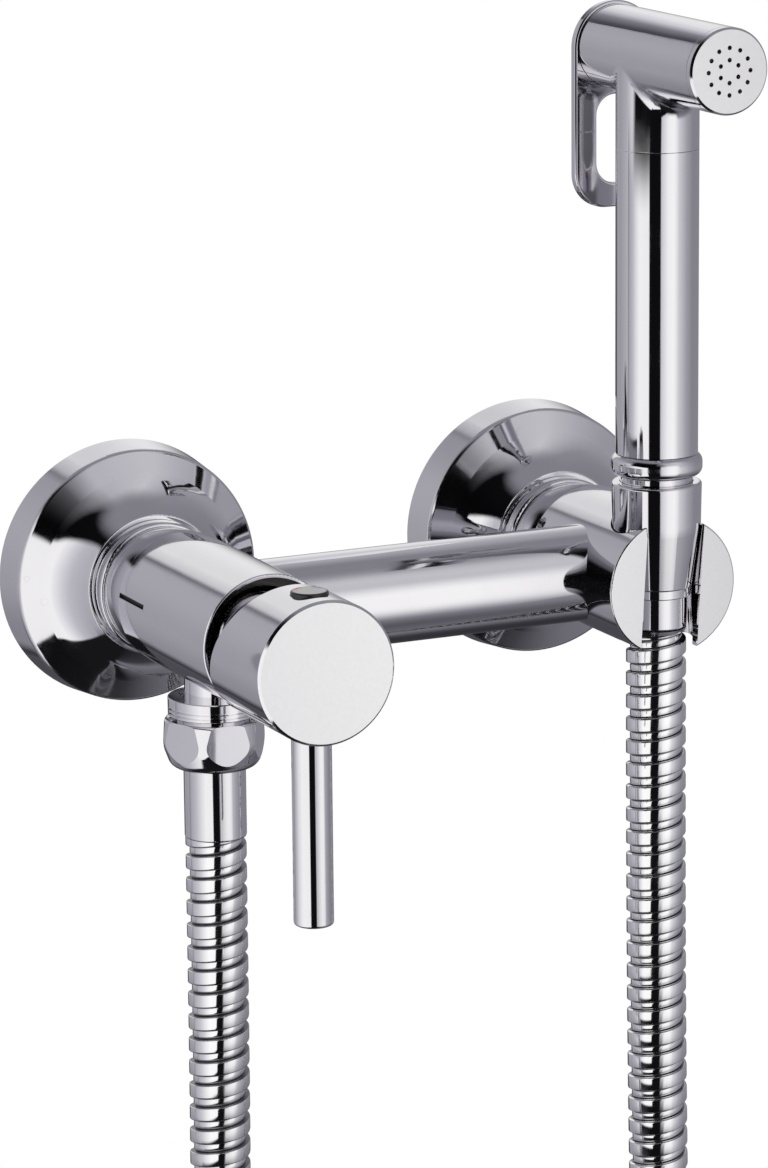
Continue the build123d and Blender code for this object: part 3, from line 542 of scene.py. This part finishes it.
hose_route = Route(hanging_line(hose_points))
hose = wound_strip("hose_strip", hose_route, hose_pitch, strip_profile, strip_columns)
strip_steel = Metal("stainless strip", tint=(0.91, 0.90, 0.91), gloss=0.06, smear=0.10,
                    grain=(500, 500, 120), ripple=0.00003)
# Painted shade: the crease faces get a dark metal that stands in for the shadow down in each
# crease.
crease_painted_shade = Metal("shaded crease", tint=(0.30, 0.30, 0.31), gloss=0.35, smear=0.2)
hose.data.materials.append(strip_steel.coat())
hose.data.materials.append(crease_painted_shade.coat())
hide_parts("hose")
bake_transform(hose)


# Wall connectors
# Turned brass eccentrics, hidden behind the flanges. Each screws into the wall outlet,
# and its spigot carries two O-rings and a plastic non-return valve.
brass_tint = (0.80, 0.62, 0.33)

turned_brass = Metal("turned brass", tint=brass_tint, gloss=0.22, smear=0.12,
                     grain=(120, 1400, 120), ripple=0.00002)
turned_brass.coat("wall_connector_left", "wall_connector_right")


def moulded_group():
    """The skin of rubber, plastic and ceramic: fine grain, cloudy colour, handling marks."""
    tree, given, results = new_group(
        "moulded",
        [("Place", "Vector", None), ("Tint", "Color", (0.5, 0.5, 0.5, 1)),
         ("Marked", "Color", (0.6, 0.6, 0.6, 1)), ("Gloss", "Float", 0.4),
         ("Grain", "Float", 1500)],
        [("Color", "Color"), ("Roughness", "Float"), ("Height", "Float")])
    wire = Wiring(tree)
    cloud = wire.add("TexNoise", given["Place"])
    cloud.inputs["Scale"].default_value = 90
    cloud.inputs["Detail"].default_value = 5
    grain = wire.add("TexNoise", given["Place"])
    wire.feed(grain.inputs["Scale"], given["Grain"])
    grain.inputs["Detail"].default_value = 3
    marked = wire.ramp(cloud.outputs["Fac"], 0.42, 0.72)
    wire.feed(results["Color"], wire.mix(marked, given["Tint"], given["Marked"]))
    rough = wire.math("MULTIPLY_ADD", marked, 0.10, given["Gloss"])
    wire.feed(results["Roughness"], wire.math("MULTIPLY_ADD", grain.outputs["Fac"], 0.06, rough))
    wire.feed(results["Height"], grain.outputs["Fac"])
    return tree


moulded = moulded_group()


class Moulding(Skin):
    """Rubber, plastic or ceramic of one tint, a little paler or darker where it is marked."""

    def __init__(self, name, tint, marked, gloss, grain=1500, depth=0.00004):
        super().__init__(name, moulded, ((*tint, 1), (*marked, 1), gloss, grain), depth)


black_rubber = Moulding("black rubber", (0.016, 0.016, 0.018), (0.040, 0.040, 0.043), 0.52)
black_rubber.coat("connector_o_rings")
pale_plastic = Moulding("pale plastic", (0.62, 0.63, 0.65), (0.68, 0.69, 0.70), 0.34)
pale_plastic.coat("non_return_valves")


# Wall flanges
# Trumpet-shaped brass shells, spun from sheet and chrome plated, that hide the hole in
# the wall. They are bright all over, and handling shows on the rim and round the hole.
mixer_axis = (-0.065, 0, 0)
holder_axis = (0.065, 0, 0)
flange_radius = 0.0381
flange_front_radius = 0.0370
flange_band_depth = 0.0120
flange_lip_radius = 0.0202
flange_depth = 0.0245

for side, axis in (("left", mixer_axis), ("right", holder_axis)):
    flange_chrome = Metal(f"flange chrome {side}", grain=(90, 700, 90), rims=(
        Rim(axis, "Y", flange_front_radius, -flange_band_depth, 0.0009),
        Rim(axis, "Y", flange_radius, 0.0, 0.0006),
        Rim(axis, "Y", flange_lip_radius, -flange_depth, 0.0006),
    ))
    flange_chrome.coat(f"wall_flange_{side}")


# Flange rings
# Narrow chromed rings on the connectors, screwed up against the flanges to hold them to
# the wall. Their two rounded edges show as bright lines beside each body.
ring_radius = 0.0190
ring_front = 0.0299

ring_rims = [Rim(axis, "Y", ring_radius, -depth, 0.0006)
             for axis in (mixer_axis, holder_axis) for depth in (flange_depth, ring_front)]
Metal("ring chrome", gloss=0.05, grain=(80, 900, 80), rims=ring_rims).coat("flange_rings")


# Mixer body
# A brass casting, turned and chrome plated, open at the front for the cartridge. A fine
# index line is sunk into its left side, just in front of the rear cone, with painted shade in it.
mixer_radius = 0.0195
mixer_front = 0.1055
cone_end = 0.0450
index_end = 0.0625
index_height = 0.0032
index_half_width = 0.0007
index_side = -0.0830

mixer_chrome = Metal("mixer chrome", grain=(90, 700, 90), rims=(
    Rim(mixer_axis, "Y", mixer_radius, -mixer_front, 0.0007),
    Rim(mixer_axis, "Y", mixer_radius, -cone_end, 0.0005),
))


def paint_line_shade(metal):
    """Painted shade, near black and matte, in the sunk line on the left side of the body."""
    wire = metal.wire
    at = wire.add("SeparateXYZ", metal.place).outputs
    from_line = wire.math("ABSOLUTE", wire.math("SUBTRACT", at["Z"], index_height))
    line_shade = wire.math("LESS_THAN", from_line, index_half_width)
    line_shade = wire.math("MULTIPLY", line_shade, wire.math("LESS_THAN", at["X"], index_side))
    line_shade = wire.math("MULTIPLY", line_shade, wire.math("GREATER_THAN", at["Y"], -index_end))
    line_shade = wire.math("MULTIPLY", line_shade, wire.math("LESS_THAN", at["Y"], -cone_end))
    # Painted shade: near black where the sunk line lies.
    metal.color = wire.mix(line_shade, metal.color, (0.012, 0.012, 0.014, 1))
    metal.rough = wire.math("MULTIPLY_ADD", line_shade, 0.45, metal.rough)
    bare = wire.math("SUBTRACT", 1, line_shade)
    wire.feed(metal.shader.inputs["Metallic"], bare)


paint_line_shade(mixer_chrome)
mixer_chrome.coat("mixer_body")


# Holder body
# The same casting without a cartridge: its front is forked for the hand spray, and the
# two half-round faces of the fork are milled flat and satin finished before plating.
holder_radius = 0.0200
holder_front = 0.0960

holder_chrome = Metal("holder chrome", grain=(90, 700, 90), rims=(
    Rim(holder_axis, "Y", holder_radius, -holder_front, 0.0006),
    Rim(holder_axis, "Y", holder_radius, -cone_end, 0.0005),
))


def satin_front(metal, front, rough, level):
    """A satin finish, of one level of grey, on the faces that look straight out at a depth."""
    depth_spread = 0.0003
    rough_spread = 0.02
    wire = metal.wire
    facing = wire.add("SeparateXYZ", metal.sources["Normal"]).outputs["Y"]
    depth = wire.add("SeparateXYZ", metal.place).outputs["Y"]
    satin = wire.math("MULTIPLY", wire.math("LESS_THAN", facing, -0.98),
                      wire.math("LESS_THAN", depth, -front + depth_spread))
    blasted = wire.add("TexNoise", metal.place)
    blasted.inputs["Scale"].default_value = 900
    blasted.inputs["Detail"].default_value = 4
    grain = wire.ramp(blasted.outputs["Fac"], 0.3, 0.7, rough - rough_spread, rough + rough_spread)
    metal.color = wire.mix(satin, metal.color, (level, 0.99 * level, level, 1))
    polished = wire.math("MULTIPLY", metal.rough, wire.math("SUBTRACT", 1, satin))
    metal.rough = wire.math("MULTIPLY_ADD", satin, grain, polished)


satin_front(holder_chrome, holder_front, rough=0.19, level=0.79)
holder_chrome.coat("holder_body")


# Body grub screws
# Short stainless screws with hexagon sockets, one in each body. They lock the body to
# its wall connector, and sit a little below the surface.
bright_steel = Metal("bright steel", tint=(0.60, 0.60, 0.62), gloss=0.16, smear=0.12,
                     grain=(700, 700, 700))
bright_steel.coat("body_grub_screws")


# Cross tube
# Drawn brass tube, saddled to both bodies and brazed before plating. It takes the cold
# water from the right body to the mixer, and has polishing lines along its length.
Metal("tube chrome", gloss=0.045, grain=(60, 900, 900)).coat("cross_tube")


# Cartridge
# A single-lever cartridge: rubber port seals, plastic base, carriers and housing, two
# lapped ceramic discs, and a brass nut that holds it in the mixer's chamber. The nut is
# painted near black as the shade of the gap behind the handle.
black_rubber.coat("port_seals")
white_ceramic = Moulding("lapped ceramic", (0.82, 0.80, 0.76), (0.86, 0.84, 0.80), 0.10,
                         grain=4000, depth=0.000005)
white_ceramic.coat("fixed_disc", "moving_disc")
grey_plastic = Moulding("grey plastic", (0.20, 0.21, 0.22), (0.25, 0.26, 0.27), 0.38)
grey_plastic.coat("cartridge_base", "disc_carrier", "turning_carrier")
pale_plastic.coat("cartridge_housing")
turned_brass.coat("spindle")
# Painted shade: the nut's near black tint stands in for the shadow in the gap behind the handle.
Metal("brass darkened as painted shade", tint=(0.07, 0.066, 0.062), gloss=0.30, smear=0.12,
      grain=(120, 1400, 120)).coat("cartridge_nut")
bright_steel.coat("spindle_pin")


# Cartridge cover
# A spun brass dome on the cartridge nut, chrome plated. It closes the mouth of the mixer
# body behind the handle, and only its edge shows in the gap.
Metal("cover chrome", gloss=0.06, grain=(120, 500, 120), rims=(
    Rim(mixer_axis, "Y", 0.0152, -0.1000, 0.0005),
)).coat("cartridge_cover")


# Handle
# A solid brass cap on the spindle, with a slanted rear edge that clears the body as it
# lifts. The side is mirror bright and the flat face is satin, with a bright bevel.
handle_radius = 0.0200
handle_front = 0.1435
handle_rear = 0.1070

handle_chrome = Metal("handle chrome", grain=(90, 700, 90), rims=(
    Rim(mixer_axis, "Y", handle_radius, -handle_front + 0.0006, 0.0008),
    Rim(mixer_axis, "Y", handle_radius, -handle_rear, 0.0006),
))
satin_front(handle_chrome, handle_front, rough=0.23, level=0.82)
handle_chrome.coat("handle_cap")


# Lever pin
# A turned and chromed brass pin, screwed into the cap from below. Its lower end is
# rounded over, where the fingers hold it.
lever_axis = (-0.065, -0.1326, 0)
lever_foot = -0.0723
lever_radius = 0.0050

Metal("lever chrome", grain=(900, 900, 60), rims=(
    Rim(lever_axis, "Z", lever_radius, lever_foot, 0.0012),
)).coat("lever_pin")
bright_steel.coat("handle_grub_screw")


# Colour plug
# A smoked plastic button over the handle's grub screw. A red mark on its left and a blue
# one on its right show which way is hot and which cold.
# Painted shade: a near black ring at the plug's edge stands for the shadow in the gap round it.
plug_shade_ring = (0.0043, 0.0047)
mark_inner_edge = (0.0033, 0.0037)
mark_outer_edge = (0.0050, 0.0047)
mark_reach = 0.45
mark_soft_end = 0.08

plug_plastic = Moulding("smoked plastic", (0.33, 0.305, 0.30), (0.39, 0.365, 0.355), 0.10,
                        grain=2500, depth=0.00001)


def colour_marks_and_rim_shade(plastic):
    """Painted shade as a dark ring round the plug's edge, and two short colour arcs by it, to the
    left and right of the plug's far side.
    """
    wire = plastic.wire
    from_centre = wire.vector_math("SUBTRACT", plastic.place, lever_axis)
    at = wire.add("SeparateXYZ", from_centre).outputs
    flat = wire.vector_math("MULTIPLY", from_centre, (1, 1, 0))
    radius = wire.vector_math("LENGTH", flat, output="Value")
    rim = wire.ramp(radius, *plug_shade_ring)
    # painted shade at the plug's edge
    plastic.color = wire.mix(rim, plastic.color, (0.02, 0.018, 0.018, 1))
    band = wire.math("MULTIPLY", wire.ramp(radius, *mark_inner_edge),
                     wire.ramp(radius, *mark_outer_edge))
    bearing = wire.math("ARCTAN2", at["X"], at["Y"])
    for middle, tint in ((-0.55, (0.42, 0.030, 0.020)), (0.95, (0.020, 0.035, 0.26))):
        away = wire.math("ABSOLUTE", wire.math("SUBTRACT", bearing, middle))
        arc = wire.math("MULTIPLY", band, wire.ramp(away, mark_reach, mark_reach - mark_soft_end))
        plastic.color = wire.mix(arc, plastic.color, (*tint, 1))


colour_marks_and_rim_shade(plug_plastic)
plug_plastic.coat("indicator_plug")


# Outlet nipple
# A turned brass nipple, brazed into the neck under the mixer. Two fine grooves run round
# its collar, and the hose nut screws onto the thread below.
nipple_radius = 0.0129
collar_top = -0.0232
outlet_axis = (-0.065, -0.066, 0)

Metal("nipple chrome", gloss=0.045, grain=(90, 90, 900), rims=(
    Rim(outlet_axis, "Z", nipple_radius, collar_top, 0.0005),
    *(Rim(outlet_axis, "Z", nipple_radius, collar_top - drop, 0.0004)
      for drop in (0.0027, 0.0039, 0.0052)),
)).coat("outlet_nipple")


# Hose nut and ferrules
# The nut is a crowned brass hexagon, barrelled and polished so that each flat is framed
# by an arc. The ferrules are drawn sleeves, pressed onto the ends of the hose.
nut_foot = -0.0436
ferrule_radius = 0.0088
spray_axis = (0.065, -0.086, 0)

Metal("nut chrome", gloss=0.04, smear=0.07, grain=(90, 90, 700), ripple=0.00007, rims=(
    Rim(outlet_axis, "Z", 0.0140, -0.0293, 0.0005),
    Rim(outlet_axis, "Z", 0.0100, nut_foot, 0.0006),
)).coat("hose_nut")
for name, axis, foot in (("hose_ferrule_lower", outlet_axis, -0.0640),
                         ("hose_ferrule_upper", spray_axis, -0.0132)):
    Metal(f"{name} chrome", gloss=0.045, grain=(900, 900, 60), rims=(
        Rim(axis, "Z", ferrule_radius, foot, 0.0006),
    )).coat(name)
black_rubber.coat("hose_washer_lower", "hose_washer_upper")


# Cone nut
# A turned cone that drops into the fork and carries the hand spray. Its foot has a short
# collar, and its top edge is rounded under the spray's tail.
Metal("cone chrome", grain=(900, 900, 60), rims=(
    Rim(spray_axis, "Z", 0.01295, 0.0292, 0.0007),
    Rim(spray_axis, "Z", 0.0103, -0.0010, 0.0004),
    Rim(spray_axis, "Z", 0.0099, -0.0040, 0.0004),
)).coat("cone_nut")


# Hand spray grip
# A drawn brass tube between the head and a turned tail, whose rounded collar stops it on
# the cone nut. Both are chromed, and the tube is polished lengthwise.
grip_radius = 0.0118
grip_top = 0.1248

Metal("grip chrome", gloss=0.03, grain=(900, 900, 50), rims=(
    Rim(spray_axis, "Z", grip_radius, grip_top, 0.0004),
)).coat("grip_tube")
Metal("collar chrome", gloss=0.04, grain=(90, 90, 700), rims=(
    Rim(spray_axis, "Z", 0.0131, 0.0343, 0.0010),
)).coat("grip_tail")


# Spray head
# A brass casting: a level barrel that blends into the neck with a soft fillet. Casting
# and polishing by hand leave its reflections slightly wavy.
head_axis = (0.065, 0, 0.1507)
head_radius = 0.0121
head_rear = 0.0613
head_front = 0.1246

Metal("head chrome", gloss=0.04, grain=(90, 700, 90), ripple=0.00011, rims=(
    Rim(head_axis, "Y", head_radius, -head_rear, 0.0006),
    Rim(head_axis, "Y", head_radius, -head_front, 0.0005),
    Rim(spray_axis, "Z", grip_radius, grip_top, 0.0004),
)).coat("head_body")


# Spray face
# A satin chromed plate with two circles of fine drilled holes, pressed into the head
# with an O-ring behind it. Its edge has a narrow bright bevel.
face_front = 0.1274

face_chrome = Metal("face chrome", gloss=0.05, rims=(
    Rim(head_axis, "Y", head_radius, -face_front + 0.0005, 0.0007),
))
satin_front(face_chrome, face_front, rough=0.23, level=0.80)
face_chrome.coat("spray_face")
black_rubber.coat("spray_o_ring")


# Spray valve
# Inside the head: a brass gland and seat, a steel stem with its disc and spring, and
# rubber seals. The spring holds it shut until the trigger pulls the stem back.
turned_brass.coat("stem_gland", "valve_seat")
bright_steel.coat("valve_stem", "valve_spring")
black_rubber.coat("stem_o_ring", "valve_seal")


# Trigger
# A die-cast zinc plate behind the head, chrome plated, with a window for the fingertip.
# A domed nut on the stem's end joins it to the valve.
Metal("trigger chrome", gloss=0.05, smear=0.08, grain=(300, 300, 60), ripple=0.00009
      ).coat("trigger_paddle")
Metal("trigger nut chrome", gloss=0.05, grain=(90, 700, 90)).coat("trigger_nut")
